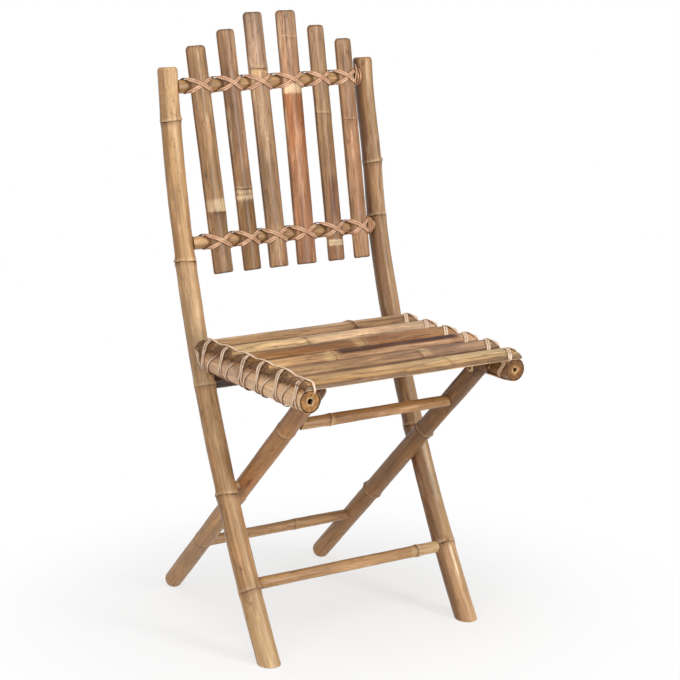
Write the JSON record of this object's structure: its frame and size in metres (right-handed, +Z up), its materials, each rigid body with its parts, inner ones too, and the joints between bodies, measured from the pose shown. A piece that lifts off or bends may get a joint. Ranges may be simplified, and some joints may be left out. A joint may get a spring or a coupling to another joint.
{
  "type": "bamboo folding side chair",
  "caption": "Folding side chair of bamboo poles with slatted seat and back lashed on with rattan cane; crossed legs and seat fold together.",
  "frame": {"origin": "on the floor, under the middle of the chair's bounding box", "axes": "+Z up, -Y towards the front edge of the seat, +X towards the chair's right side as seen from the front camera, so left and right are those of somebody facing the chair"},
  "size_m": [0.4264, 0.5596, 1.0034],
  "materials": {
    "pole": "varnished bamboo, tan with paler lengthwise streaks and brown node rings",
    "slat": "varnished split bamboo, streaked greyish pink to reddish brown",
    "cane": "split rattan cane, pinkish tan, fine lengthwise ribs",
    "dowel": "dry bare wood"
  },
  "bodies": {
    "post_frame": {"left_post": "pole", "right_post": "pole", "front_stretcher": "pole", "seat_rest_bar": "pole", "lower_back_rail": "pole", "upper_back_rail": "pole", "left_scissor_pin": "dowel", "right_scissor_pin": "dowel", "left_seat_hook": "dowel", "right_seat_hook": "dowel", "back_slat_1": "slat", "back_slat_2": "slat", "back_slat_3": "slat", "back_slat_4": "slat", "back_slat_5": "slat", "back_slat_6": "slat", "lower_back_lashing": "cane", "upper_back_lashing": "cane"},
    "leg_frame": {"left_rear_leg": "pole", "right_rear_leg": "pole", "upper_leg_rung": "pole", "lower_leg_rung": "pole", "left_seat_pin": "dowel", "right_seat_pin": "dowel"},
    "seat": {"left_seat_rail": "pole", "right_seat_rail": "pole", "seat_cross_bar": "pole", "seat_slat_1": "slat", "seat_slat_2": "slat", "seat_slat_3": "slat", "seat_slat_4": "slat", "seat_slat_5": "slat", "seat_slat_6": "slat", "left_seat_lashing": "cane", "right_seat_lashing": "cane"}
  },
  "joints": [
    {"name": "scissor", "type": "hinge", "parent": "post_frame", "child": "leg_frame", "pos_m": [0, 0.00109, 0.2565], "axis": [-1, 0, 0], "range_deg": [0, 58]},
    {"name": "seat_fold", "type": "hinge", "parent": "leg_frame", "child": "seat", "pos_m": [0, -0.21652, 0.457], "axis": [1, 0, 0], "range_deg": [0, 139.2]}
  ],
  "couplings": [
    {"joint": "seat_fold", "follows": "scissor", "ratio": 2.4}
  ]
}
